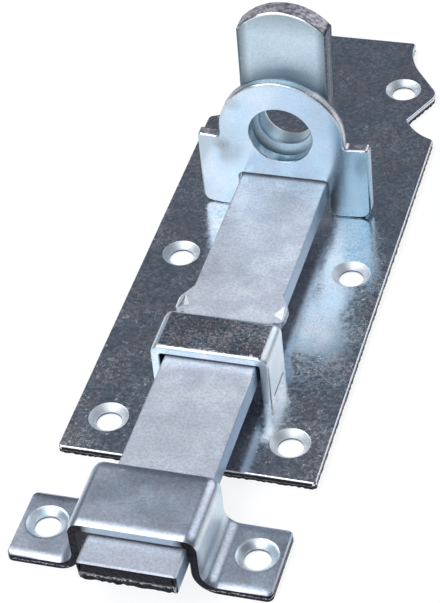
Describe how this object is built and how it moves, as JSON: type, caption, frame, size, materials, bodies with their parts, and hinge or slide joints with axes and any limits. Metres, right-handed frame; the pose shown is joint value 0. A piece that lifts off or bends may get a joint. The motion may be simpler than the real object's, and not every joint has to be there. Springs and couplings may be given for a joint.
{
  "type": "padlock sliding bolt",
  "caption": "Flat sliding bolt on a screw-on plate with a guide strap, a pierced padlock bracket, a turned-up pierced grip and a separate keeper for a door or gate.",
  "frame": {"origin": "centre of the back of the base plate, in the surface that the plate and the keeper are screwed to", "axes": "+Z out of that surface, +Y along the bolt towards its turned-up end, so the bolt shoots along -Y; +X to the right"},
  "size_m": [0.0555, 0.1874, 0.0524],
  "materials": {
    "zinc_plate": "blue-passivated zinc on rolled sheet",
    "zinc_strap": "blue-passivated zinc on bent strip",
    "zinc_bracket": "blue-passivated zinc on stamped sheet",
    "zinc_bolt": "blue-passivated zinc on flat bar",
    "zinc_keeper": "blue-passivated zinc on bent strip"
  },
  "bodies": {
    "base": {"base_plate": "zinc_plate", "guide_strap": "zinc_strap", "padlock_bracket": "zinc_bracket", "keeper": "zinc_keeper"},
    "bolt": {"bolt": "zinc_bolt"}
  },
  "joints": [
    {"name": "bolt_slide", "type": "slide", "parent": "base", "child": "bolt", "axis": [0, 1, 0], "range_m": [-0.0004, 0.0387]}
  ]
}
